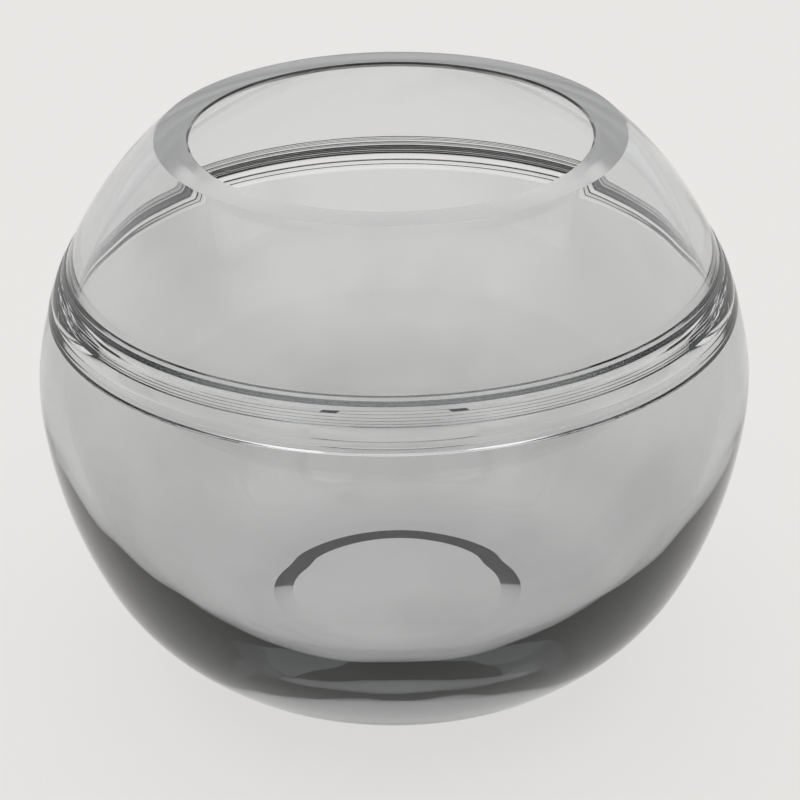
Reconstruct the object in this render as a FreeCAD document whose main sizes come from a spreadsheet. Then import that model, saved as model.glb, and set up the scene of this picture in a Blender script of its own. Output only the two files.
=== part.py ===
import FreeCAD, Part
import math
import os

import Sketcher

# Rose bowl vase of smoke-grey glass, in millimetres.
# The vase stands on its foot: +Z is its axis and the origin is the centre of the foot's contact ring.
# Four pieces of glass are stacked face to face: lower bowl, ringed collar, satin seam and shoulder dome.
# Each is one half section, drawn beside the axis and turned round it.

# Driving dimensions, which go to the spreadsheet under these names.
# A turn is the angle in degrees through which the outline leans over along an arc.
SIZES = {
    # overall
    "body_radius": 75.0,
    "body_widest_height": 64.8,
    # foot: a flat ground ring round a shallow hollow with a bevelled edge
    "foot_radius": 34.0,
    "foot_ring_width": 4.8,
    "foot_bevel_width": 5.0,
    "foot_hollow_depth": 2.0,
    # outside of the body: shoulder arc, waist arc over the widest place, belly arc and heel arc,
    # and how far the bowl's lip stands above the widest place
    "shoulder_arc_radius": 79.4,
    "waist_arc_radius": 48.3,
    "waist_turn_up": 10.2,
    "waist_turn_down": 4.8,
    "belly_arc_radius": 99.8,
    "belly_turn": 20.1,
    "lip_rise": 18.6,
    # cavity: a wall that follows the outside, a corner arc and a flat floor
    "wall_thickness": 5.0,
    "floor_thickness": 9.0,
    "cavity_corner_inset": 41.0,
    "cavity_corner_radius": 26.0,
    # ringed collar
    "band_height": 8.4,
    "band_step": 0.25,
    "bead_rise_share": 0.12,
    # satin seam
    "seam_height": 1.6,
    # shoulder dome and its flat ground rim
    "dome_height": 25.6,
    "dome_step": 0.25,
    "rim_outer_radius": 48.5,
    "rim_width": 7.5,
    "rim_bevel_width": 0.5,
    "rim_bevel_drop": 0.4,
}

# Heights of the groove roots between the collar's beads, as shares of the collar's height.
BEAD_ROOT_SHARES = (0.0, 0.17, 0.31, 0.68, 0.92, 1.0)

# What follows from the driving dimensions, as formulas for the spreadsheet.
DERIVED = {
    # levels
    "bowl_lip_height": "=body_widest_height + lip_rise",
    "band_top_height": "=bowl_lip_height + band_height",
    "seam_top_height": "=band_top_height + seam_height",
    "vase_height": "=seam_top_height + dome_height",
    "rim_bevel_height": "=vase_height - rim_bevel_drop",
    # foot
    "foot_ring_inner_radius": "=foot_radius - foot_ring_width",
    "foot_ceiling_radius": "=foot_ring_inner_radius - foot_bevel_width",
    # waist arc, upright at the widest place, and the shoulder arc that leaves it smoothly
    "waist_top_radius": "=body_radius - waist_arc_radius * (1 - cos(waist_turn_up))",
    "waist_top_height": "=body_widest_height + waist_arc_radius * sin(waist_turn_up)",
    "waist_foot_radius": "=body_radius - waist_arc_radius * (1 - cos(waist_turn_down))",
    "waist_foot_height": "=body_widest_height - waist_arc_radius * sin(waist_turn_down)",
    "shoulder_centre_radius": "=waist_top_radius - shoulder_arc_radius * cos(waist_turn_up)",
    "shoulder_centre_height": "=waist_top_height - shoulder_arc_radius * sin(waist_turn_up)",
    # place where the belly arc ends, and the heel arc that leaves it smoothly and ends at the foot
    "belly_end_turn": "=waist_turn_down + belly_turn",
    "belly_end_radius": (
        "=waist_foot_radius - belly_arc_radius * (cos(waist_turn_down) - cos(belly_end_turn))"
    ),
    "belly_end_height": (
        "=waist_foot_height - belly_arc_radius * (sin(belly_end_turn) - sin(waist_turn_down))"
    ),
    "heel_run": "=belly_end_radius - foot_radius",
    "heel_arc_radius": (
        "=(heel_run ^ 2 + belly_end_height ^ 2)"
        " / (2 * (heel_run * cos(belly_end_turn) - belly_end_height * sin(belly_end_turn)))"
    ),
    # rim
    "mouth_radius": "=rim_outer_radius - rim_width",
    "rim_flat_outer_radius": "=rim_outer_radius - rim_bevel_width",
    "rim_flat_inner_radius": "=mouth_radius + rim_bevel_width",
    # cavity round the widest place, one wall thickness inside the waist arc
    "cavity_radius": "=body_radius - wall_thickness",
    "cavity_waist_arc_radius": "=waist_arc_radius - wall_thickness",
    "cavity_waist_top_radius": "=cavity_radius - cavity_waist_arc_radius * (1 - cos(waist_turn_up))",
    "cavity_waist_top_height": "=body_widest_height + cavity_waist_arc_radius * sin(waist_turn_up)",
    "cavity_waist_foot_radius": "=cavity_radius - cavity_waist_arc_radius * (1 - cos(waist_turn_down))",
    "cavity_waist_foot_height": "=body_widest_height - cavity_waist_arc_radius * sin(waist_turn_down)",
    # upper wall of the cavity: an arc that leaves the waist smoothly and ends at the mouth
    "mouth_run": "=cavity_waist_top_radius - mouth_radius",
    "mouth_rise": "=rim_bevel_height - cavity_waist_top_height",
    "cavity_upper_arc_radius": (
        "=(mouth_run ^ 2 + mouth_rise ^ 2)"
        " / (2 * (mouth_run * cos(waist_turn_up) - mouth_rise * sin(waist_turn_up)))"
    ),
    "cavity_upper_centre_radius": "=cavity_waist_top_radius - cavity_upper_arc_radius * cos(waist_turn_up)",
    "cavity_upper_centre_height": "=cavity_waist_top_height - cavity_upper_arc_radius * sin(waist_turn_up)",
    # lower wall of the cavity: an arc that leaves the waist smoothly and runs into the floor's corner arc
    "floor_flat_radius": "=cavity_radius - cavity_corner_inset",
    "corner_centre_height": "=floor_thickness + cavity_corner_radius",
    "corner_run": "=cavity_waist_foot_radius - floor_flat_radius",
    "corner_drop": "=cavity_waist_foot_height - corner_centre_height",
    "cavity_lower_arc_radius": (
        "=(corner_run ^ 2 + corner_drop ^ 2 - cavity_corner_radius ^ 2)"
        " / (2 * (corner_run * cos(waist_turn_down) - corner_drop * sin(waist_turn_down)"
        " - cavity_corner_radius))"
    ),
    "corner_link": "=cavity_lower_arc_radius - cavity_corner_radius",
    "corner_reach": "=cavity_lower_arc_radius * cos(waist_turn_down) - corner_run",
    "corner_depth": "=cavity_lower_arc_radius * sin(waist_turn_down) + corner_drop",
    "corner_top_radius": "=floor_flat_radius + cavity_corner_radius * corner_reach / corner_link",
    "corner_top_height": "=corner_centre_height - cavity_corner_radius * corner_depth / corner_link",
}

# Levels where the shoulder arc outside, and the cavity's upper wall, pass from one piece to the next.
LEVELS = {
    "lip": "bowl_lip_height",
    "band_top": "band_top_height",
    "seam_top": "seam_top_height",
}

FULL_TURN = 360.0


def level_cells():
    """Formulas for the radius of the shoulder arc, and of the cavity, at each level between pieces."""
    cells = {}
    for name, height in LEVELS.items():
        cells[f"shoulder_radius_at_{name}"] = (
            "=shoulder_centre_radius"
            f" + sqrt(shoulder_arc_radius ^ 2 - ({height} - shoulder_centre_height) ^ 2)"
        )
        cells[f"cavity_radius_at_{name}"] = (
            "=cavity_upper_centre_radius"
            f" + sqrt(cavity_upper_arc_radius ^ 2 - ({height} - cavity_upper_centre_height) ^ 2)"
        )
    cells["dome_foot_radius"] = "=shoulder_radius_at_seam_top - dome_step"
    return cells


def bead_cells():
    """Formulas for the collar's groove roots, and for the bead arc that leaves each of them."""
    cells = {
        "band_foot_radius": "=shoulder_radius_at_lip - band_step",
        "band_lean": "=shoulder_radius_at_lip - shoulder_radius_at_band_top",
        "band_slant": "=sqrt(band_height ^ 2 + band_lean ^ 2)",
    }
    for number, share in enumerate(BEAD_ROOT_SHARES):
        cells[f"bead_root_radius_{number}"] = f"=band_foot_radius - {share} * band_lean"
        cells[f"bead_root_height_{number}"] = f"=bowl_lip_height + {share} * band_height"
    for number, (low, high) in enumerate(zip(BEAD_ROOT_SHARES, BEAD_ROOT_SHARES[1:])):
        cells[f"bead_arc_radius_{number}"] = (
            f"=({high} - {low}) * band_slant"
            " * (1 + 4 * bead_rise_share ^ 2) / (8 * bead_rise_share)"
        )
    return cells


def fill_sheet(doc):
    """Put the driving dimensions, and what follows from them, in a spreadsheet."""
    sheet = doc.addObject("Spreadsheet::Sheet", "Sizes")
    cells = {name: str(value) for name, value in SIZES.items()}
    cells.update(DERIVED)
    cells.update(level_cells())
    cells.update(bead_cells())
    for row, (name, text) in enumerate(cells.items(), start=1):
        sheet.set(f"A{row}", name)
        sheet.set(f"B{row}", text)
        sheet.setAlias(f"B{row}", name)
    doc.recompute()
    return sheet


class HalfSection:
    """A closed half section in the plane through the axis, drawn point by point.

    The sketch's horizontal is the distance from the axis and its vertical is the height.
    Points and arc radii are given by the names of their spreadsheet cells. None stands for zero.
    """

    # numbers by which the sketcher knows the ends of an edge, the origin, and the upright and level axes
    START = 1
    END = 2
    ORIGIN = (-1, 1)
    AXES = (-2, -1)

    def __init__(self, body, sheet, first_point):
        self.body = body
        self.sheet = sheet
        self.sketch = body.newObject("Sketcher::SketchObject", f"{body.Name}_section")
        plane = next(item for item in body.Origin.OriginFeatures if item.Role == "XZ_Plane")
        self.sketch.AttachmentSupport = [(plane, "")]
        self.sketch.MapMode = "FlatFace"
        self.first_point = first_point
        self.first_vertex = None
        self.last_point = first_point
        self.last_vertex = None

    def value(self, cell):
        return float(self.sheet.get(cell)) if cell else 0.0

    def spot(self, point):
        across, up = point
        return FreeCAD.Vector(self.value(across), self.value(up), 0)

    def bind(self, constraint, cell):
        """Add a dimension and tie it to its spreadsheet cell."""
        index = self.sketch.addConstraint(constraint)
        self.sketch.setExpression(f"Constraints[{index}]", f"{self.sheet.Name}.{cell}")

    def hold(self, vertex, point):
        """Hold a vertex at its distance from the axis and at its height."""
        ways = zip(point, ("DistanceX", "DistanceY"), self.AXES)
        for cell, kind, axis in ways:
            if cell:
                self.bind(Sketcher.Constraint(kind, *self.ORIGIN, *vertex, self.value(cell)), cell)
            else:
                self.sketch.addConstraint(Sketcher.Constraint("PointOnObject", *vertex, axis))

    def add(self, edge, near_end, far_end, point):
        """Add an edge that starts where the last one stopped and runs to a point."""
        index = self.sketch.addGeometry(edge, False)
        near = (index, near_end)
        far = (index, far_end)
        if self.last_vertex:
            self.sketch.addConstraint(Sketcher.Constraint("Coincident", *self.last_vertex, *near))
        else:
            self.first_vertex = near
            self.hold(near, self.first_point)
        if point == self.first_point:
            self.sketch.addConstraint(Sketcher.Constraint("Coincident", *far, *self.first_vertex))
        else:
            self.hold(far, point)
        self.last_point = point
        self.last_vertex = far
        return index

    def line_to(self, across, up):
        """Draw a straight edge to a point."""
        point = (across, up)
        edge = Part.LineSegment(self.spot(self.last_point), self.spot(point))
        self.add(edge, self.START, self.END, point)

    def arc_to(self, across, up, radius, turns_left=True):
        """Draw an arc of less than half a circle to a point."""
        point = (across, up)
        start = self.spot(self.last_point)
        end = self.spot(point)
        size = self.value(radius)
        chord = end - start
        left = FreeCAD.Vector(-chord.y, chord.x, 0).normalize()
        stand_off = math.sqrt(size ** 2 - (chord.Length / 2) ** 2)
        centre = (start + end) / 2 + left * (stand_off if turns_left else -stand_off)
        angles = [math.atan2(corner.y - centre.y, corner.x - centre.x) for corner in (start, end)]
        ends = [self.START, self.END]
        if not turns_left:
            angles.reverse()
            ends.reverse()
        circle = Part.Circle(centre, FreeCAD.Vector(0, 0, 1), size)
        index = self.add(Part.ArcOfCircle(circle, *angles), *ends, point)
        self.bind(Sketcher.Constraint("Radius", index, size), radius)

    def turn(self):
        """Turn the closed section round the vase's axis."""
        solid = self.body.newObject("PartDesign::Revolution", f"{self.body.Name}_turned")
        solid.Profile = (self.sketch, [""])
        solid.ReferenceAxis = (self.sketch, ["V_Axis"])
        solid.Angle = FULL_TURN
        self.sketch.Visibility = False
        return self.body


def glass_body(doc, label):
    """Make an empty body for one piece of glass."""
    body = doc.addObject("PartDesign::Body", label)
    body.Label = label
    return body


def lower_bowl(doc, sheet):
    """Lower glass: foot with its shallow hollow, heel, belly, waist and lip, with the cavity inside."""
    section = HalfSection(glass_body(doc, "lower_bowl"), sheet, (None, "foot_hollow_depth"))
    # underside, from the axis out to the foot's contact ring
    section.line_to("foot_ceiling_radius", "foot_hollow_depth")
    section.line_to("foot_ring_inner_radius", None)
    section.line_to("foot_radius", None)
    # outside, up to the lip
    section.arc_to("belly_end_radius", "belly_end_height", "heel_arc_radius")
    section.arc_to("waist_foot_radius", "waist_foot_height", "belly_arc_radius")
    section.arc_to("waist_top_radius", "waist_top_height", "waist_arc_radius")
    section.arc_to("shoulder_radius_at_lip", "bowl_lip_height", "shoulder_arc_radius")
    # lip face, then down the cavity to the axis
    section.line_to("cavity_radius_at_lip", "bowl_lip_height")
    inside = (
        ("cavity_waist_top_radius", "cavity_waist_top_height", "cavity_upper_arc_radius"),
        ("cavity_waist_foot_radius", "cavity_waist_foot_height", "cavity_waist_arc_radius"),
        ("corner_top_radius", "corner_top_height", "cavity_lower_arc_radius"),
        ("floor_flat_radius", "floor_thickness", "cavity_corner_radius"),
    )
    for across, up, radius in inside:
        section.arc_to(across, up, radius, turns_left=False)
    section.line_to(None, "floor_thickness")
    section.line_to(None, "foot_hollow_depth")
    return section.turn()


def band_ring(doc, sheet):
    """Ringed collar: turned beads of different heights with a fine groove between neighbours."""
    first_point = ("cavity_radius_at_lip", "bowl_lip_height")
    section = HalfSection(glass_body(doc, "band_ring"), sheet, first_point)
    section.line_to("bead_root_radius_0", "bowl_lip_height")
    for number in range(1, len(BEAD_ROOT_SHARES)):
        root = (f"bead_root_radius_{number}", f"bead_root_height_{number}")
        section.arc_to(*root, f"bead_arc_radius_{number - 1}")
    section.line_to("cavity_radius_at_band_top", "band_top_height")
    section.arc_to(*first_point, "cavity_upper_arc_radius", turns_left=False)
    return section.turn()


def seam_ring(doc, sheet):
    """Narrow satin ring where the lower and the upper glass are joined."""
    first_point = ("cavity_radius_at_band_top", "band_top_height")
    section = HalfSection(glass_body(doc, "seam_ring"), sheet, first_point)
    section.line_to("shoulder_radius_at_band_top", "band_top_height")
    section.line_to("shoulder_radius_at_seam_top", "seam_top_height")
    section.line_to("cavity_radius_at_seam_top", "seam_top_height")
    section.arc_to(*first_point, "cavity_upper_arc_radius", turns_left=False)
    return section.turn()


def shoulder_dome(doc, sheet):
    """Upper glass: the shoulder that closes in to the mouth, with its flat ground rim."""
    first_point = ("cavity_radius_at_seam_top", "seam_top_height")
    section = HalfSection(glass_body(doc, "shoulder_dome"), sheet, first_point)
    section.line_to("dome_foot_radius", "seam_top_height")
    section.arc_to("rim_outer_radius", "rim_bevel_height", "shoulder_arc_radius")
    # ground rim, with a fine bevel on both edges
    section.line_to("rim_flat_outer_radius", "vase_height")
    section.line_to("rim_flat_inner_radius", "vase_height")
    section.line_to("mouth_radius", "rim_bevel_height")
    section.arc_to(*first_point, "cavity_upper_arc_radius", turns_left=False)
    return section.turn()


def check_model(doc, bodies):
    """Stop if anything failed to compute, or if a piece isn't one sound solid."""
    for item in doc.Objects:
        if "Invalid" in item.State or "Error" in item.State:
            raise RuntimeError(f"{item.Label} failed: {item.State}")
    for body in bodies:
        shape = body.Shape
        if shape.isNull() or not shape.isValid() or len(shape.Solids) != 1:
            raise RuntimeError(f"{body.Label} is not one sound solid")


def export(bodies):
    """Write each piece to its own file, named after the piece."""
    os.makedirs("parts", exist_ok=True)
    for body in bodies:
        body.Shape.exportStep(f"parts/{body.Label}.step")
        print(f"{body.Label}: {body.Shape.Volume:.0f} mm3, centre at z {body.Shape.CenterOfMass.z:.2f}")


def main():
    doc = FreeCAD.newDocument("RoseBowlVase")
    sheet = fill_sheet(doc)
    makers = (lower_bowl, band_ring, seam_ring, shoulder_dome)
    bodies = [make(doc, sheet) for make in makers]
    doc.recompute()
    check_model(doc, bodies)
    export(bodies)


main()
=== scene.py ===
"""Looks of a smoke-grey glass rose bowl vase.

The glass has a thick foot, a round bowl, a ringed collar, a satin seam and a flat ground mouth. Each piece
is turned round the vase's axis from a half outline, whose sizes are in millimetres.
"""

import logging
import math
from dataclasses import dataclass, field
from enum import Enum

import bmesh
import bpy
from mathutils import Matrix, Vector


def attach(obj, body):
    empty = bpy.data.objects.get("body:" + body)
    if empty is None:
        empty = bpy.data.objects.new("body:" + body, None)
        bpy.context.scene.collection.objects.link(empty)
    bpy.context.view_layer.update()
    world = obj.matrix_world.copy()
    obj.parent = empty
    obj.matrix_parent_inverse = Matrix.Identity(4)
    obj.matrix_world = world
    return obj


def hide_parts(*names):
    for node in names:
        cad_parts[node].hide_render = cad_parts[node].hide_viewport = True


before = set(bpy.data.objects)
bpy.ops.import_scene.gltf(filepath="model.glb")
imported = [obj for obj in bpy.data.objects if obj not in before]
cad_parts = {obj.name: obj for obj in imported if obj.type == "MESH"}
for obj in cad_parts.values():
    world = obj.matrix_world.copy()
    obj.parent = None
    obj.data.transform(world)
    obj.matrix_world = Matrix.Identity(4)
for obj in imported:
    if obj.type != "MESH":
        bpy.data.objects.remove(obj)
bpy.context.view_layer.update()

MM = 0.001
BODY = "root"
BLACK = (0.0, 0.0, 0.0, 1.0)
WHITE = (1.0, 1.0, 1.0, 1.0)

log = logging.getLogger("rose_bowl_vase")

Point = tuple[float, float]
Colour = tuple[float, float, float, float]


# Shader and geometry nodes


class Wire:
    """A node's output that takes part in Python sums, each of which adds its Math node."""

    def __init__(self, maker: "NodeMaker", socket: bpy.types.NodeSocket) -> None:
        """Keep the output and the tree's maker.

        Args:
            maker: the maker of the tree that holds the output.
            socket: the output.
        """
        self.maker = maker
        self.socket = socket

    def sum_up(self, operation: str, first: "Wire | float", second: "Wire | float") -> "Wire":
        """Add a Math node.

        Args:
            operation: the Math node's operation.
            first: its first number.
            second: its second number.

        Returns:
            The Math node's result.
        """
        return self.maker.math(operation, first, second)

    def __add__(self, other: "Wire | float") -> "Wire":
        """Self plus other."""
        return self.sum_up("ADD", self, other)

    def __radd__(self, other: float) -> "Wire":
        """Other plus self."""
        return self.sum_up("ADD", other, self)

    def __sub__(self, other: "Wire | float") -> "Wire":
        """Self minus other."""
        return self.sum_up("SUBTRACT", self, other)

    def __rsub__(self, other: float) -> "Wire":
        """Other minus self."""
        return self.sum_up("SUBTRACT", other, self)

    def __mul__(self, other: "Wire | float") -> "Wire":
        """Self times other."""
        return self.sum_up("MULTIPLY", self, other)

    def __truediv__(self, other: "Wire | float") -> "Wire":
        """Self divided by other."""
        return self.sum_up("DIVIDE", self, other)

    def __gt__(self, other: "Wire | float") -> "Wire":
        """One where self is greater than other, and nought elsewhere."""
        return self.sum_up("GREATER_THAN", self, other)

    def __lt__(self, other: "Wire | float") -> "Wire":
        """One where self is less than other, and nought elsewhere."""
        return self.sum_up("LESS_THAN", self, other)

    def near(self, value: float, reach: float) -> "Wire":
        """One within reach of a value, and nought elsewhere.

        Args:
            value: the middle of the range.
            reach: half its width.

        Returns:
            The mask.
        """
        return self.maker.math("COMPARE", self, value, reach)

    def rise(self, low: float, high: float) -> "Wire":
        """A ramp with rounded ends, from nought at low to one at high.

        Args:
            low: where the ramp starts.
            high: where it ends.

        Returns:
            The ramp's height.
        """
        settings = {"interpolation_type": "SMOOTHSTEP"}
        inputs = {"Value": self, "From Min": low, "From Max": high}
        return self.maker.wire("ShaderNodeMapRange", settings, inputs, "Result")


class NodeMaker:
    """Adds nodes to a tree, each by its type, its settings and the values or links of its sockets."""

    def __init__(self, tree: bpy.types.NodeTree) -> None:
        """Start on a tree, with any old nodes cleared away.

        Args:
            tree: the node tree of a material, a world or a modifier.
        """
        self.tree = tree
        tree.nodes.clear()

    def node(self, kind: str, settings: dict | None = None, inputs: dict | None = None) -> bpy.types.Node:
        """Add one node.

        Args:
            kind: the node's type.
            settings: its settings by name, set first.
            inputs: values, wires or sockets by the input's name or number.

        Returns:
            The node.
        """
        made = self.tree.nodes.new(kind)
        for name, value in (settings or {}).items():
            setattr(made, name, value)
        for name, value in (inputs or {}).items():
            target = made.inputs[name]
            if isinstance(value, Wire):
                value = value.socket
            if isinstance(value, bpy.types.NodeSocket):
                self.tree.links.new(value, target)
            else:
                target.default_value = value
        return made

    def wire(self, kind: str, settings: dict | None, inputs: dict | None, output: str | int = 0) -> Wire:
        """Add one node and take one of its outputs.

        Args:
            kind: the node's type.
            settings: its settings by name.
            inputs: values, wires or sockets by the input's name or number.
            output: the output's name or number.

        Returns:
            The output.
        """
        return Wire(self, self.node(kind, settings, inputs).outputs[output])

    def math(self, operation: str, *values: Wire | float) -> Wire:
        """Add a Math node.

        Args:
            operation: its operation.
            values: its numbers.

        Returns:
            Its result.
        """
        return self.wire("ShaderNodeMath", {"operation": operation}, dict(enumerate(values)))

    def mix_shader(self, factor: Wire | float, first: Wire, second: Wire) -> Wire:
        """Mix two shaders.

        Args:
            factor: the second shader's share.
            first: the first shader.
            second: the second shader.

        Returns:
            The mixed shader.
        """
        return self.wire("ShaderNodeMixShader", None, {0: factor, 1: first, 2: second})

    def place(self) -> tuple[Wire, Wire, Wire, Wire]:
        """Read the place on the piece.

        Returns:
            The place as a vector, its x, its y and its z.
        """
        spot = self.wire("ShaderNodeTexCoord", None, None, "Object")
        parts = self.node("ShaderNodeSeparateXYZ", None, {0: spot})
        return spot, *(Wire(self, parts.outputs[axis]) for axis in "XYZ")


# The vase's outline


@dataclass(frozen=True)
class VaseForm:
    """Driving sizes of the turned glass, in millimetres and degrees, with the points that follow."""

    height: float = 119.0
    body_radius: float = 75.0
    widest_height: float = 64.8
    foot_radius: float = 34.0
    foot_ring_width: float = 4.8
    foot_bevel_width: float = 5.0
    foot_hollow_depth: float = 2.0
    shoulder_arc: float = 79.4
    waist_arc: float = 48.3
    waist_turn_up: float = 10.2
    waist_turn_down: float = 4.8
    belly_arc: float = 99.8
    belly_turn: float = 20.1
    wall: float = 5.0
    floor: float = 9.0
    corner_inset: float = 41.0
    corner_arc: float = 26.0
    rim_radius: float = 48.5
    rim_bevel_width: float = 0.5
    rim_bevel_drop: float = 0.4
    mouth_radius: float = 41.0

    def lean(self, start: Point, radius: float, first_turn: float, last_turn: float) -> Point:
        """Follow an arc of the wall from one lean to another.

        Args:
            start: the point where the arc starts.
            radius: the arc's radius.
            first_turn: the lean where it starts, in degrees, positive above the widest place.
            last_turn: the lean where it ends.

        Returns:
            The point where it ends.
        """
        first, last = math.radians(first_turn), math.radians(last_turn)
        across = start[0] + radius * (math.cos(last) - math.cos(first))
        return across, start[1] + radius * (math.sin(last) - math.sin(first))

    def closing_arc(self, start: Point, turn: float, end: Point) -> float:
        """Find the arc that leaves a wall smoothly and ends at a point.

        Args:
            start: the point on the wall.
            turn: the wall's lean there, in degrees.
            end: the point where the arc ends.

        Returns:
            The arc's radius.
        """
        run, rise = start[0] - end[0], start[1] - end[1]
        outward = run * math.cos(math.radians(turn)) + rise * math.sin(math.radians(turn))
        return (run**2 + rise**2) / (2 * outward)

    def wall_radius(self, start: Point, turn: float, radius: float, height: float) -> float:
        """Find the distance from the axis of an arc of the wall at a height.

        Args:
            start: a point on the arc.
            turn: the arc's lean there, in degrees.
            radius: the arc's radius.
            height: the height asked for.

        Returns:
            The distance from the axis.
        """
        across = start[0] - radius * math.cos(math.radians(turn))
        up = start[1] - radius * math.sin(math.radians(turn))
        return across + math.sqrt(radius**2 - (height - up) ** 2)

    @property
    def waist_top(self) -> Point:
        """Where the waist arc passes into the shoulder arc."""
        return self.lean((self.body_radius, self.widest_height), self.waist_arc, 0, self.waist_turn_up)

    @property
    def waist_foot(self) -> Point:
        """Where the waist arc passes into the belly arc."""
        return self.lean((self.body_radius, self.widest_height), self.waist_arc, 0, -self.waist_turn_down)

    @property
    def belly_end(self) -> Point:
        """Where the belly arc passes into the heel arc."""
        turned = self.waist_turn_down + self.belly_turn
        return self.lean(self.waist_foot, self.belly_arc, -self.waist_turn_down, -turned)

    @property
    def heel_arc(self) -> float:
        """Radius of the heel arc, which ends at the foot."""
        turned = self.waist_turn_down + self.belly_turn
        return self.closing_arc(self.belly_end, -turned, (self.foot_radius, 0.0))

    @property
    def cavity_waist_arc(self) -> float:
        """Radius of the cavity's waist arc, which follows the outside."""
        return self.waist_arc - self.wall

    @property
    def cavity_waist_top(self) -> Point:
        """Where the cavity's waist arc passes into its upper arc."""
        start = (self.body_radius - self.wall, self.widest_height)
        return self.lean(start, self.cavity_waist_arc, 0, self.waist_turn_up)

    @property
    def cavity_waist_foot(self) -> Point:
        """Where the cavity's waist arc passes into its lower arc."""
        start = (self.body_radius - self.wall, self.widest_height)
        return self.lean(start, self.cavity_waist_arc, 0, -self.waist_turn_down)

    @property
    def mouth_edge(self) -> Point:
        """Where the cavity ends under the mouth's bevel."""
        return self.mouth_radius, self.height - self.rim_bevel_drop

    @property
    def cavity_upper_arc(self) -> float:
        """Radius of the cavity's upper arc."""
        return self.closing_arc(self.cavity_waist_top, self.waist_turn_up, self.mouth_edge)

    @property
    def flat_floor_radius(self) -> float:
        """Radius of the cavity's flat floor."""
        return self.body_radius - self.wall - self.corner_inset

    @property
    def corner_offset(self) -> Point:
        """How far the corner arc's centre lies inwards and downwards of the cavity's waist foot."""
        inwards = self.cavity_waist_foot[0] - self.flat_floor_radius
        return inwards, self.cavity_waist_foot[1] - self.floor - self.corner_arc

    @property
    def cavity_lower_arc(self) -> float:
        """Radius of the cavity's lower arc, which runs into the floor's corner arc."""
        run, drop = self.corner_offset
        turned = math.radians(self.waist_turn_down)
        reach = run * math.cos(turned) - drop * math.sin(turned) - self.corner_arc
        return (run**2 + drop**2 - self.corner_arc**2) / (2 * reach)

    @property
    def corner_top(self) -> Point:
        """Where the cavity's lower arc passes into the corner arc."""
        run, drop = self.corner_offset
        turned = math.radians(self.waist_turn_down)
        link = self.cavity_lower_arc - self.corner_arc
        reach = self.cavity_lower_arc * math.cos(turned) - run
        depth = self.cavity_lower_arc * math.sin(turned) + drop
        across = self.flat_floor_radius + self.corner_arc * reach / link
        return across, self.floor + self.corner_arc - self.corner_arc * depth / link

    def shoulder_radius(self, height: float) -> float:
        """Find the shoulder arc's distance from the axis.

        Args:
            height: the height asked for.

        Returns:
            The distance from the axis.
        """
        return self.wall_radius(self.waist_top, self.waist_turn_up, self.shoulder_arc, height)

    def cavity_radius(self, height: float) -> float:
        """Find the distance of the cavity's upper wall from the axis.

        Args:
            height: the height asked for.

        Returns:
            The distance from the axis.
        """
        return self.wall_radius(self.cavity_waist_top, self.waist_turn_up, self.cavity_upper_arc, height)


class HalfOutline:
    """A half section beside the axis, as points that each hold a distance from the axis and a height."""

    def __init__(self, across: float, up: float, step: float = 0.9) -> None:
        """Start at a point.

        Args:
            across: its distance from the axis, in millimetres.
            up: its height.
            step: the longest distance between points on an arc.
        """
        self.points: list[Point] = [(across, up)]
        self.step = step

    def line_to(self, across: float, up: float, parts: int = 1) -> None:
        """Draw a straight edge.

        Args:
            across: the end's distance from the axis.
            up: the end's height.
            parts: how many equal parts it has.
        """
        start = self.points[-1]
        run, rise = across - start[0], up - start[1]
        for number in range(1, parts + 1):
            share = number / parts
            self.points.append((start[0] + run * share, start[1] + rise * share))

    def arc_to(self, end: Point, radius: float, turns_left: bool = True, least: int = 6) -> None:
        """Draw an arc of less than half a circle.

        Args:
            end: the point where it ends.
            radius: its radius.
            turns_left: whether it turns left on the way.
            least: the least number of parts.
        """
        start, finish = Vector(self.points[-1]), Vector(end)
        chord = finish - start
        left = Vector((-chord.y, chord.x)).normalized()
        stand_off = math.sqrt(radius**2 - (chord.length / 2) ** 2)
        centre = (start + finish) / 2 + left * (stand_off if turns_left else -stand_off)
        first, last = (math.atan2(spot.y - centre.y, spot.x - centre.x) for spot in (start, finish))
        parts = max(least, math.ceil(abs(last - first) * radius / self.step))
        for number in range(1, parts + 1):
            angle = first + (last - first) * number / parts
            across, up = radius * math.cos(angle), radius * math.sin(angle)
            self.points.append((centre.x + across, centre.y + up))


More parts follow.
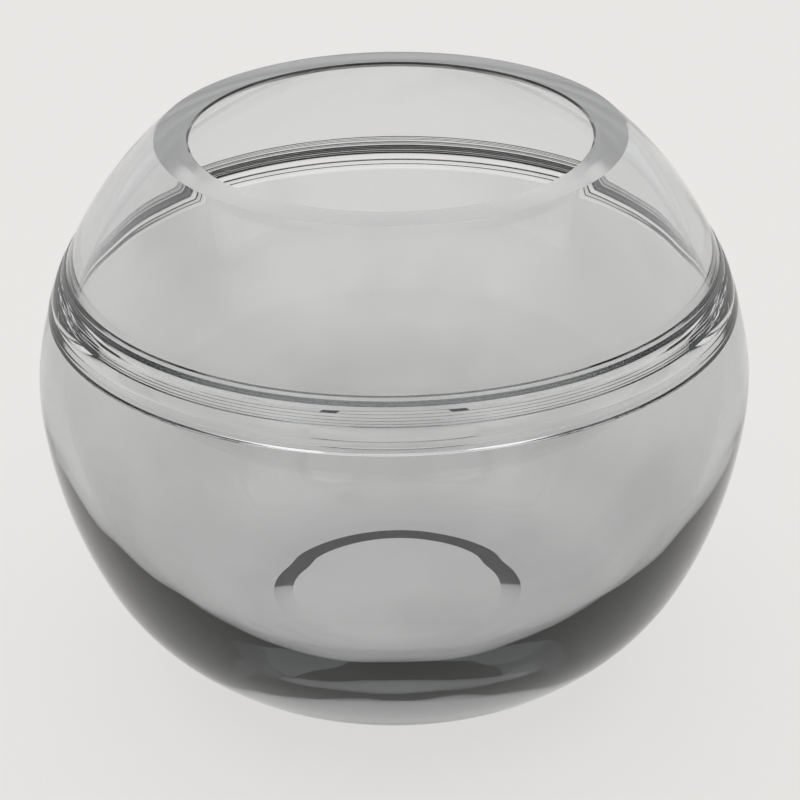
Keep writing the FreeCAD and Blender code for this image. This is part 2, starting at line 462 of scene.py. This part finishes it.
class Lathe:
    """Geometry Nodes that turn a half outline round the vase's axis."""

    SIZES = {
        "Outline Points": "NodeSocketInt",
        "Steps Round": "NodeSocketInt",
        "Weld Distance": "NodeSocketFloat",
    }
    WELD_DISTANCE = 1e-7
    SAMPLING = {"data_type": "FLOAT_VECTOR", "domain": "POINT"}

    def __init__(self) -> None:
        """Build the tree: a grid is bent round the axis, each of its columns a copy of the outline."""
        self.tree = bpy.data.node_groups.new("turned_on_the_lathe", "GeometryNodeTree")
        face = self.tree.interface
        face.new_socket("Outline", in_out="INPUT", socket_type="NodeSocketGeometry")
        for name, kind in self.SIZES.items():
            face.new_socket(name, in_out="INPUT", socket_type=kind)
        face.new_socket("Finish", in_out="INPUT", socket_type="NodeSocketMaterial")
        face.new_socket("Turned", in_out="OUTPUT", socket_type="NodeSocketGeometry")
        maker = NodeMaker(self.tree)
        group = maker.node("NodeGroupInput")
        given = {name: Wire(maker, socket) for name, socket in group.outputs.items() if name}
        rows, steps = given["Outline Points"], given["Steps Round"]
        inputs = {"Vertices X": steps + 1, "Vertices Y": rows}
        grid = maker.wire("GeometryNodeMeshGrid", None, inputs, "Mesh")
        index = maker.wire("GeometryNodeInputIndex", None, None)
        # Half a point more keeps the column right where the division's rounding falls just short.
        column = maker.math("FLOOR", (index + 0.5) / rows)
        row = index - column * rows
        spot = maker.wire("GeometryNodeInputPosition", None, None)
        inputs = {"Geometry": given["Outline"], "Value": spot, "Index": row}
        outline = maker.wire("GeometryNodeSampleIndex", self.SAMPLING, inputs, "Value")
        inputs = {"Vector": outline, "Angle": column * math.tau / steps}
        turned = maker.wire("ShaderNodeVectorRotate", {"rotation_type": "Z_AXIS"}, inputs, "Vector")
        bent = maker.wire("GeometryNodeSetPosition", None, {"Geometry": grid, "Position": turned})
        inputs = {"Geometry": bent, "Distance": given["Weld Distance"]}
        welded = maker.wire("GeometryNodeMergeByDistance", None, inputs)
        real = maker.wire("GeometryNodeRealizeInstances", None, {"Geometry": welded})
        inputs = {"Geometry": real, "Material": given["Finish"]}
        finished = maker.wire("GeometryNodeSetMaterial", None, inputs)
        maker.node("NodeGroupOutput", None, {0: finished})

    def turn(
        self, name: str, outline: HalfOutline, finish: bpy.types.Material, steps: int, sharp: float
    ) -> bpy.types.Object:
        """Turn an outline round the axis.

        Args:
            name: the piece's name.
            outline: its half outline, in millimetres.
            finish: its material.
            steps: how many flats it has round the axis.
            sharp: the angle in degrees from which an edge stays sharp.

        Returns:
            The turned piece, as a plain mesh with its faces outwards.
        """
        spots = [(across * MM, 0.0, up * MM) for across, up in outline.points]
        edges = [(number, number + 1) for number in range(len(spots) - 1)]
        drawn = bpy.data.meshes.new(f"{name}_outline")
        drawn.from_pydata(spots, edges, [])
        piece = bpy.data.objects.new(name, drawn)
        bpy.context.scene.collection.objects.link(piece)
        modifier = piece.modifiers.new("lathe", "NODES")
        modifier.node_group = self.tree
        values = {
            "Outline Points": len(spots),
            "Steps Round": steps,
            "Weld Distance": self.WELD_DISTANCE,
            "Finish": finish,
        }
        given = [item for item in self.tree.interface.items_tree if item.in_out == "INPUT"]
        sockets = {item.name: item.identifier for item in given}
        for label, value in values.items():
            modifier[sockets[label]] = value
        evaluated = piece.evaluated_get(bpy.context.evaluated_depsgraph_get())
        turned = bpy.data.meshes.new_from_object(evaluated)
        piece.modifiers.remove(modifier)
        piece.data = turned
        turned.name = name
        self.face_outwards(turned)
        turned.shade_smooth()
        turned.set_sharp_from_angle(angle=math.radians(sharp))
        return piece

    @staticmethod
    def face_outwards(mesh: bpy.types.Mesh) -> None:
        """Turn a closed mesh's faces outwards.

        Args:
            mesh: the mesh.
        """
        shell = bmesh.new()
        shell.from_mesh(mesh)
        bmesh.ops.recalc_face_normals(shell, faces=shell.faces)
        open_edges = sum(not edge.is_manifold for edge in shell.edges)
        log.info("  %s: %d faces, %d open edges", mesh.name, len(shell.faces), open_edges)
        shell.to_mesh(mesh)
        shell.free()


@dataclass(frozen=True)
class Joint:
    """A level face between two pieces of glass, which is fused apart from a fine edge outside."""

    outer: Point
    inner: Point
    open_edge: float

    @property
    def height(self) -> float:
        """Height of the face."""
        return self.outer[1]

    @property
    def fused_radius(self) -> float:
        """Radius inside which the face is fused."""
        return self.outer[0] - self.open_edge


# Finishes


@dataclass(frozen=True)
class SmokeGlass:
    """Polished clear glass with a smoke-grey tint, ground in places and fused to its neighbours.

    Joints and the two ground limits are in millimetres, and the other sizes in metres. The smoke takes up
    light at its density, per metre, a little less in the channels that its colour holds.
    """

    name: str
    joints: tuple[Joint, ...]
    face_reach: float = 6e-6
    index: float = 1.5
    smoke: Colour = (0.0, 0.035, 0.045, 1.0)
    density: float = 37.0
    shadow: float = 0.95
    polish: float = 0.0
    ground: float = 0.22
    frost: float = 0.32
    frost_colour: Colour = (0.9, 0.9, 0.9, 1.0)
    ground_above: float | None = None
    ground_outside: float | None = None
    wave_size: float = 0.012
    wave_height: float = 0.00005
    cloud_size: float = 0.03
    cloud_detail: float = 2.0
    cloud_roughness: float = 0.5
    cloud_start: float = 0.5
    cloud_depth: float = 0.4
    bubble_spread: float = 0.011
    bubble_radius: float = 0.0002
    bubble_depth: float = 0.25

    def ground_mask(self, across: Wire, up: Wire) -> Wire | None:
        """Find where the glass is ground.

        Args:
            across: the distance from the axis, in metres.
            up: the height, in metres.

        Returns:
            The mask, or None where nothing is ground.
        """
        if self.ground_above is not None:
            return up > self.ground_above * MM
        if self.ground_outside is not None:
            return across > self.ground_outside * MM
        return None

    def fused_mask(self, across: Wire, up: Wire) -> Wire:
        """Find where this piece of glass is fused to its neighbours.

        Args:
            across: the distance from the axis, in metres.
            up: the height, in metres.

        Returns:
            The mask.
        """
        masks = []
        for joint in self.joints:
            inside = across < joint.fused_radius * MM
            masks.append(up.near(joint.height * MM, self.face_reach) * inside)
        return sum(masks[1:], masks[0])

    def waves(self, maker: NodeMaker, spot: Wire) -> Wire:
        """Add the low waves of worked glass.

        Args:
            maker: the material's maker.
            spot: the place on the piece.

        Returns:
            The surface's direction.
        """
        noise = {"Vector": spot, "Scale": 1 / self.wave_size, "Detail": 0.0}
        height = maker.wire("ShaderNodeTexNoise", None, noise, "Fac")
        inputs = {"Height": height, "Distance": self.wave_height, "Strength": 1.0}
        return maker.wire("ShaderNodeBump", None, inputs, "Normal")

    def tone(self, maker: NodeMaker, spot: Wire) -> Wire:
        """Add soft clouds and small bubbles.

        Args:
            maker: the material's maker.
            spot: the place on the piece.

        Returns:
            The surface's tone.
        """
        noise = {
            "Vector": spot,
            "Scale": 1 / self.cloud_size,
            "Detail": self.cloud_detail,
            "Roughness": self.cloud_roughness,
        }
        clouds = maker.wire("ShaderNodeTexNoise", None, noise, "Fac")
        cloud = maker.math("MAXIMUM", clouds - self.cloud_start, 0.0)
        cells = {"Vector": spot, "Scale": 1 / self.bubble_spread}
        bubbles = maker.wire("ShaderNodeTexVoronoi", None, cells, "Distance")
        bubble = bubbles < self.bubble_radius / self.bubble_spread
        return 1.0 - cloud * self.cloud_depth - bubble * self.bubble_depth

    def material(self) -> bpy.types.Material:
        """Make the material.

        Returns:
            The material, which lets light through for shadows and where the piece is fused to another.
        """
        made = bpy.data.materials.new(self.name)
        made.use_nodes = True
        maker = NodeMaker(made.node_tree)
        spot, x, y, up = maker.place()
        across = maker.math("SQRT", x * x + y * y)
        surface = {
            "Base Color": self.tone(maker, spot),
            "Roughness": self.polish,
            "IOR": self.index,
            "Transmission Weight": 1.0,
            "Normal": self.waves(maker, spot),
        }
        ground = self.ground_mask(across, up)
        if ground is not None:
            surface["Roughness"] = self.polish + ground * (self.ground - self.polish)
        glass = maker.wire("ShaderNodeBsdfPrincipled", None, surface)
        through = maker.wire("ShaderNodeBsdfTransparent", None, {"Color": WHITE})
        if ground is not None:
            frosted = maker.wire("ShaderNodeBsdfDiffuse", None, {"Color": self.frost_colour})
            glass = maker.mix_shader(ground * self.frost, glass, frosted)
        body = maker.mix_shader(self.fused_mask(across, up), glass, through)
        shade = (self.shadow, self.shadow, self.shadow, 1.0)
        shaded = maker.wire("ShaderNodeBsdfTransparent", None, {"Color": shade})
        path = maker.wire("ShaderNodeLightPath", None, None, "Is Shadow Ray")
        inputs = {"Color": self.smoke, "Density": self.density}
        smoke = maker.wire("ShaderNodeVolumeAbsorption", None, inputs)
        inputs = {"Surface": maker.mix_shader(path, body, shaded), "Volume": smoke}
        maker.node("ShaderNodeOutputMaterial", None, inputs)
        return made


# The pieces of glass


@dataclass
class Glass:
    """What the vase's four pieces of glass share, in millimetres, degrees and numbers of parts.

    The pieces stand a hair back from each joint, so that their faces there never touch.
    """

    form: VaseForm
    lathe: Lathe
    lip_height: float = 83.4
    band_height: float = 8.4
    seam_height: float = 1.6
    lip_open_edge: float = 1.3
    band_open_edge: float = 1.9
    seam_open_edge: float = 1.0
    hair: float = 0.001
    steps: int = 288
    sharp: float = 20.0
    narrow_parts: int = 2
    face_parts: int = 4
    floor_parts: int = 6

    @property
    def band_top(self) -> float:
        """Height outside where the collar ends and the seam starts."""
        return self.lip_height + self.band_height

    @property
    def seam_top(self) -> float:
        """Height outside where the seam ends and the dome starts."""
        return self.band_top + self.seam_height

    def joint(self, height: float, open_edge: float, shift: float) -> Joint:
        """Find a joint's face on this piece.

        Args:
            height: the joint's height.
            open_edge: how wide its open edge is.
            shift: how far this piece stands back from the joint, upwards.

        Returns:
            The joint.
        """
        level = height + shift
        outer = (self.form.shoulder_radius(level), level)
        inner = (self.form.cavity_radius(level), level)
        return Joint(outer, inner, open_edge)

    def lip_joint(self, shift: float) -> Joint:
        """Find the joint between the bowl's lip and the collar.

        Args:
            shift: how far this piece stands back from the joint, upwards.

        Returns:
            The joint.
        """
        return self.joint(self.lip_height, self.lip_open_edge, shift)

    def band_joint(self, shift: float) -> Joint:
        """Find the joint between the collar and the seam.

        Args:
            shift: how far this piece stands back from the joint, upwards.

        Returns:
            The joint.
        """
        return self.joint(self.band_top, self.band_open_edge, shift)

    def seam_joint(self, shift: float) -> Joint:
        """Find the joint between the seam and the dome.

        Args:
            shift: how far this piece stands back from the joint, upwards.

        Returns:
            The joint.
        """
        return self.joint(self.seam_top, self.seam_open_edge, shift)

    def finish_piece(self, node: str, outline: HalfOutline, finish: SmokeGlass, slot: str) -> None:
        """Turn a piece, dress it and put it in the place of its CAD node.

        Args:
            node: the CAD node's name.
            outline: the piece's half outline.
            finish: its finish.
            slot: a material slot's name, which is not used.
        """
        piece = self.lathe.turn(f"{node}_glass", outline, finish.material(), self.steps, self.sharp)
        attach(piece, BODY)
        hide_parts(node)
        log.info("%s: made and dressed", node)


@dataclass
class LowerBowl(Glass):
    """The foot with its shallow hollow, the heel, belly, waist and lip, with the cavity inside."""

    def outline(self, lip: Joint) -> HalfOutline:
        """Draw the half outline from the hollow's centre round to the cavity's floor.

        Args:
            lip: the face at the bowl's lip.

        Returns:
            The outline.
        """
        form = self.form
        ring = form.foot_radius - form.foot_ring_width
        drawn = HalfOutline(0.0, form.foot_hollow_depth)
        drawn.line_to(ring - form.foot_bevel_width, form.foot_hollow_depth, self.floor_parts)
        drawn.line_to(ring, 0.0, self.narrow_parts)
        drawn.line_to(form.foot_radius, 0.0, self.narrow_parts)
        drawn.arc_to(form.belly_end, form.heel_arc)
        drawn.arc_to(form.waist_foot, form.belly_arc)
        drawn.arc_to(form.waist_top, form.waist_arc)
        drawn.arc_to(lip.outer, form.shoulder_arc)
        drawn.line_to(*lip.inner, self.narrow_parts)
        drawn.arc_to(form.cavity_waist_top, form.cavity_upper_arc, turns_left=False)
        drawn.arc_to(form.cavity_waist_foot, form.cavity_waist_arc, turns_left=False)
        drawn.arc_to(form.corner_top, form.cavity_lower_arc, turns_left=False)
        drawn.arc_to((form.flat_floor_radius, form.floor), form.corner_arc, turns_left=False)
        drawn.line_to(0.0, form.floor, self.floor_parts)
        return drawn

    def build(self) -> None:
        """Build and dress the lower bowl."""
        lip = self.lip_joint(-self.hair)
        finish = SmokeGlass("smoke_glass_bowl", (lip,))
        self.finish_piece("lower_bowl", self.outline(lip), finish, "clear_glass")


@dataclass(frozen=True)
class TurnedRing:
    """One turned ring, in millimetres above its piece's foot and inside the shoulder's arc.

    The groove's inset is that of the fine groove over the ring. The bulge is a share of the ring's width.
    """

    low: float
    high: float
    low_inset: float
    high_inset: float
    groove_inset: float
    bulge: float = 0.0

    def bulge_arc(self, width: float) -> float:
        """Find the radius of the ring's rounded outside.

        Args:
            width: the ring's width, from corner to corner.

        Returns:
            The radius of the arc that rises over it by the bulge.
        """
        return width * (1 + 4 * self.bulge**2) / (8 * self.bulge)


@dataclass
class RingedPiece(Glass):
    """A piece of glass with turned rings outside, between two joint faces."""

    rings: tuple[TurnedRing, ...] = ()
    edge_inset: float = 0.12
    bead_parts: int = 10

    def draw_rings(self, drawn: HalfOutline, foot: Joint, top: Joint) -> None:
        """Draw the rings from the foot face to the top face, with a fine groove over each.

        Args:
            drawn: the outline, which stands on the foot face.
            foot: the face under the piece.
            top: the face over it.
        """
        base, height = foot.height, top.height - foot.height
        nexts = [ring.low for ring in self.rings[1:]] + [height]
        drawn.line_to(*self.corner(base, self.edge_inset), self.face_parts)
        for ring, next_low in zip(self.rings, nexts):
            first = Vector(self.corner(base + ring.low, ring.low_inset))
            last = Vector(self.corner(base + ring.high, ring.high_inset))
            drawn.line_to(*first)
            if ring.bulge:
                radius = ring.bulge_arc((last - first).length)
                drawn.arc_to(tuple(last), radius, least=self.bead_parts)
            else:
                drawn.line_to(*last, self.face_parts)
            if next_low < height:
                groove = base + (ring.high + next_low) / 2
                drawn.line_to(*self.corner(groove, ring.groove_inset))
        drawn.line_to(*self.corner(top.height, self.rings[-1].groove_inset))

    def corner(self, height: float, inset: float) -> Point:
        """Find a corner of the outside.

        Args:
            height: its height.
            inset: how far it lies inside the shoulder's arc.

        Returns:
            Its distance from the axis and its height.
        """
        return self.form.shoulder_radius(height) - inset, height

    def ringed_outline(self, foot: Joint, top: Joint) -> HalfOutline:
        """Draw the half outline round the piece.

        Args:
            foot: the face under the piece.
            top: the face over it.

        Returns:
            The outline.
        """
        drawn = HalfOutline(*foot.inner)
        self.draw_rings(drawn, foot, top)
        drawn.line_to(*top.inner, self.face_parts)
        drawn.arc_to(foot.inner, self.form.cavity_upper_arc, turns_left=False)
        return drawn


@dataclass
class BandRing(RingedPiece):
    """The ringed collar, with fine teeth at its top that look dark from inside the vase."""

    rings: tuple[TurnedRing, ...] = (
        TurnedRing(0.30, 1.15, -0.12, 0.0, 0.14),
        TurnedRing(1.60, 2.50, -0.12, 0.08, 0.20),
        TurnedRing(2.80, 5.05, -0.10, 0.30, 0.32, 0.07),
        TurnedRing(5.10, 5.60, -0.20, 0.04, 0.05),
        TurnedRing(5.65, 6.15, -0.20, 0.04, 0.05),
        TurnedRing(6.18, 6.68, -0.18, 0.06, 0.07),
        TurnedRing(6.71, 7.21, -0.16, 0.08, 0.09),
        TurnedRing(7.28, 7.74, -0.16, 0.30, 0.34),
        TurnedRing(7.95, 8.30, 0.05, 0.30, 0.34),
    )

    def build(self) -> None:
        """Build and dress the collar."""
        foot, top = self.lip_joint(self.hair), self.band_joint(-self.hair)
        # The collar's smoke is thinned to a density of 10, so that the collar looks lighter than the rest
        # of the glass: a painted highlight, standing in for the light that its rings reflect.
        finish = SmokeGlass("smoke_glass_collar_painted_highlight", (foot, top), density=10.0)
        self.finish_piece("band_ring", self.ringed_outline(foot, top), finish, "clear_glass")


@dataclass
class SeamRing(RingedPiece):
    """The narrow satin ring where the lower and the upper glass are joined."""

    rings: tuple[TurnedRing, ...] = (
        TurnedRing(0.15, 0.55, -0.06, 0.04, 0.10, 0.06),
        TurnedRing(0.65, 1.00, -0.04, 0.05, 0.12, 0.06),
        TurnedRing(1.10, 1.45, -0.02, 0.08, 0.16, 0.06),
    )
    ground_depth: float = 1.0

    def build(self) -> None:
        """Build and dress the seam, whose outside is ground to a satin."""
        foot, top = self.band_joint(self.hair), self.seam_joint(-self.hair)
        inner = self.form.shoulder_radius(self.seam_top) - self.ground_depth
        finish = SmokeGlass("satin_glass_seam", (foot, top), ground=0.08, frost=0.0, ground_outside=inner)
        self.finish_piece("seam_ring", self.ringed_outline(foot, top), finish, "satin_glass")


@dataclass
class ShoulderDome(Glass):
    """The upper glass, which curves in to the mouth and ends in a flat ground rim."""

    step: float = 0.25
    ground_reach: float = 0.05

    def outline(self, foot: Joint) -> HalfOutline:
        """Draw the half outline from the dome's foot over the rim and back down the cavity.

        Args:
            foot: the face under the dome.

        Returns:
            The outline.
        """
        form = self.form
        rim_edge = (form.rim_radius, form.height - form.rim_bevel_drop)
        drawn = HalfOutline(*foot.inner)
        drawn.line_to(foot.outer[0] - self.step, foot.height, self.face_parts)
        drawn.arc_to(rim_edge, form.shoulder_arc)
        drawn.line_to(form.rim_radius - form.rim_bevel_width, form.height)
        drawn.line_to(form.mouth_radius + form.rim_bevel_width, form.height, self.face_parts)
        drawn.line_to(*form.mouth_edge)
        drawn.arc_to(foot.inner, form.cavity_upper_arc, turns_left=False)
        return drawn

    def build(self) -> None:
        """Build and dress the dome, whose flat rim is ground."""
        foot = self.seam_joint(self.hair)
        rim = self.form.height - self.ground_reach
        finish = SmokeGlass("smoke_glass_dome", (foot,), density=26.0, ground_above=rim)
        self.finish_piece("shoulder_dome", self.outline(foot), finish, "clear_glass")


# The studio


class Side(Enum):
    """The side of the vase that a softbox stands on."""

    LEFT = -1
    RIGHT = 1


@dataclass(frozen=True)
class PaleTable:
    """A wide pale table top, in metres, which shows its light colour and keeps the vase's shadow."""

    size: float = 8.0
    clearance: float = 0.0001
    cloth: Colour = (0.252, 0.2475, 0.24, 1.0)
    glow: Colour = (1.0, 0.99, 0.972, 1.0)
    glow_strength: float = 0.625

    def build(self) -> None:
        """Build the table top."""
        half = self.size / 2
        mesh = bpy.data.meshes.new("pale_table")
        low = -self.clearance
        corners = [(-half, -half, low), (half, -half, low), (half, half, low), (-half, half, low)]
        mesh.from_pydata(corners, [], [(0, 1, 2, 3)])
        table = bpy.data.objects.new("pale_table", mesh)
        bpy.context.scene.collection.objects.link(table)
        mesh.materials.append(self.material())

    def material(self) -> bpy.types.Material:
        """Make the table top's material.

        Returns:
            The material, which glows only where it is seen, so that the room's light stays as it is.
        """
        made = bpy.data.materials.new("pale_table_top")
        made.use_nodes = True
        maker = NodeMaker(made.node_tree)
        cloth = maker.wire("ShaderNodeBsdfDiffuse", None, {"Color": self.cloth})
        inputs = {"Color": self.glow, "Strength": self.glow_strength}
        glow = maker.wire("ShaderNodeEmission", None, inputs)
        lit = maker.wire("ShaderNodeAddShader", None, {0: cloth, 1: glow})
        path = maker.node("ShaderNodeLightPath")
        seen = Wire(maker, path.outputs["Is Camera Ray"])
        for name in ("Is Glossy Ray", "Is Transmission Ray"):
            seen = maker.math("MAXIMUM", seen, Wire(maker, path.outputs[name]))
        maker.node("ShaderNodeOutputMaterial", None, {"Surface": maker.mix_shader(seen, cloth, lit)})
        return made


@dataclass(frozen=True)
class Softbox:
    """A large soft lamp beside the vase, in metres and watts."""

    side: Side
    away: float = 0.45
    height: float = 0.85
    forward: float = 0.08
    width: float = 0.45
    tall: float = 0.6
    power: float = 0.4
    aim_height: float = 0.06

    def build(self) -> None:
        """Build the lamp, turned to the vase."""
        lamp = bpy.data.lights.new(f"softbox_{self.side.name.lower()}", "AREA")
        lamp.shape = "RECTANGLE"
        lamp.size = self.width
        lamp.size_y = self.tall
        lamp.energy = self.power
        stand = bpy.data.objects.new(lamp.name, lamp)
        bpy.context.scene.collection.objects.link(stand)
        spot = Vector((self.side.value * self.away, self.forward, self.height))
        turned = (Vector((0, 0, self.aim_height)) - spot).to_track_quat("-Z", "Y")
        stand.matrix_world = Matrix.Translation(spot) @ turned.to_matrix().to_4x4()


@dataclass(frozen=True)
class Room:
    """The soft pale light from all round, with a darker room behind the camera.

    The two ranges, along Y and along Z of the direction looked in, are those over which the dark gives way.
    """

    light: float = 0.85
    dark: float = 0.15
    far: tuple[float, float] = (-0.1, 0.5)
    overhead: tuple[float, float] = (0.5, 0.8)

    def build(self) -> None:
        """Build the world."""
        world = bpy.data.worlds.new("pale_room")
        bpy.context.scene.world = world
        world.use_nodes = True
        maker = NodeMaker(world.node_tree)
        spot = maker.wire("ShaderNodeTexCoord", None, None, "Generated")
        parts = maker.node("ShaderNodeSeparateXYZ", None, {0: spot})
        far = Wire(maker, parts.outputs["Y"]).rise(*self.far)
        overhead = Wire(maker, parts.outputs["Z"]).rise(*self.overhead)
        shade = (1 - far) * (1 - overhead)
        level = self.light + shade * (self.dark - self.light)
        # A Mix node's colours are its inputs 6 and 7 and its output 2.
        settings = {"data_type": "RGBA", "blend_type": "MIX"}
        tone = maker.wire("ShaderNodeMix", settings, {"Factor": level, 6: BLACK, 7: WHITE}, 2)
        backdrop = maker.wire("ShaderNodeBackground", None, {"Color": tone, "Strength": 1.0})
        maker.node("ShaderNodeOutputWorld", None, {"Surface": backdrop})


@dataclass(frozen=True)
class StudioCamera:
    """The camera at the photograph's angle, as fitted to the outline, rim and band.

    Distance and heights are in millimetres, angles in degrees. The aim is the place in the picture, in
    pixels, of the point on the vase's axis at the aim's height.
    """

    distance: float = 496.96
    elevation: float = 27.05
    pixels_per_mm: float = 4.680
    roll: float = -0.81
    aim_x: float = 394.65
    aim_y: float = 368.84
    aim_height: float = 64.8
    frame_pixels: float = 800.0
    sensor: float = 36.0
    nearest: float = 0.01

    @property
    def focal(self) -> float:
        """Focal length in pixels."""
        return self.pixels_per_mm * self.distance

    @property
    def pose(self) -> Matrix:
        """The camera's place and directions: aimed at the axis, then swung, tipped and rolled."""
        raised, roll = math.radians(self.elevation), math.radians(self.roll)
        middle = self.frame_pixels / 2
        away = Vector((0, -math.cos(raised), math.sin(raised))) * self.distance
        ahead = -away.normalized()
        right = Vector((1, 0, 0))
        up = right.cross(ahead)
        swing = math.atan((self.aim_x - middle) / self.focal)
        tip = math.atan((self.aim_y - middle) / self.focal)
        ahead_swung = ahead * math.cos(swing) - right * math.sin(swing)
        right_swung = right * math.cos(swing) + ahead * math.sin(swing)
        ahead_tipped = ahead_swung * math.cos(tip) + up * math.sin(tip)
        up_tipped = up * math.cos(tip) - ahead_swung * math.sin(tip)
        right_rolled = right_swung * math.cos(roll) + up_tipped * math.sin(roll)
        up_rolled = up_tipped * math.cos(roll) - right_swung * math.sin(roll)
        turned = Matrix((right_rolled, up_rolled, -ahead_tipped)).transposed().to_4x4()
        turned.translation = (away + Vector((0, 0, self.aim_height))) * MM
        return turned

    def build(self) -> None:
        """Build the camera and make it the scene's."""
        camera = bpy.data.cameras.new("studio_camera")
        camera.sensor_width = self.sensor
        camera.lens = self.focal / self.frame_pixels * self.sensor
        camera.clip_start = self.nearest
        stand = bpy.data.objects.new("studio_camera", camera)
        bpy.context.scene.collection.objects.link(stand)
        stand.matrix_world = self.pose
        bpy.context.scene.camera = stand


@dataclass
class Studio:
    """Table, lamps, room and camera."""

    table: PaleTable = field(default_factory=PaleTable)
    room: Room = field(default_factory=Room)
    camera: StudioCamera = field(default_factory=StudioCamera)
    softboxes: tuple[Softbox, ...] = (Softbox(Side.LEFT), Softbox(Side.RIGHT))
    bounces: int = 24

    def build(self) -> None:
        """Build the studio, with enough light bounces for the many walls of glass."""
        for item in (self.table, self.room, self.camera, *self.softboxes):
            item.build()
            log.info("studio: %s", type(item).__name__)
        cycles = bpy.context.scene.cycles
        cycles.max_bounces = self.bounces
        cycles.transmission_bounces = self.bounces
        cycles.glossy_bounces = self.bounces
        cycles.transparent_max_bounces = self.bounces
        bpy.context.scene.view_settings.view_transform = "Standard"


def main() -> None:
    """Build the studio and the vase, piece by piece."""
    logging.basicConfig(level=logging.INFO, format="%(message)s")
    Studio().build()
    form, lathe = VaseForm(), Lathe()
    for piece in (LowerBowl, BandRing, SeamRing, ShoulderDome):
        piece(form, lathe).build()


if __name__ == "__main__":
    main()
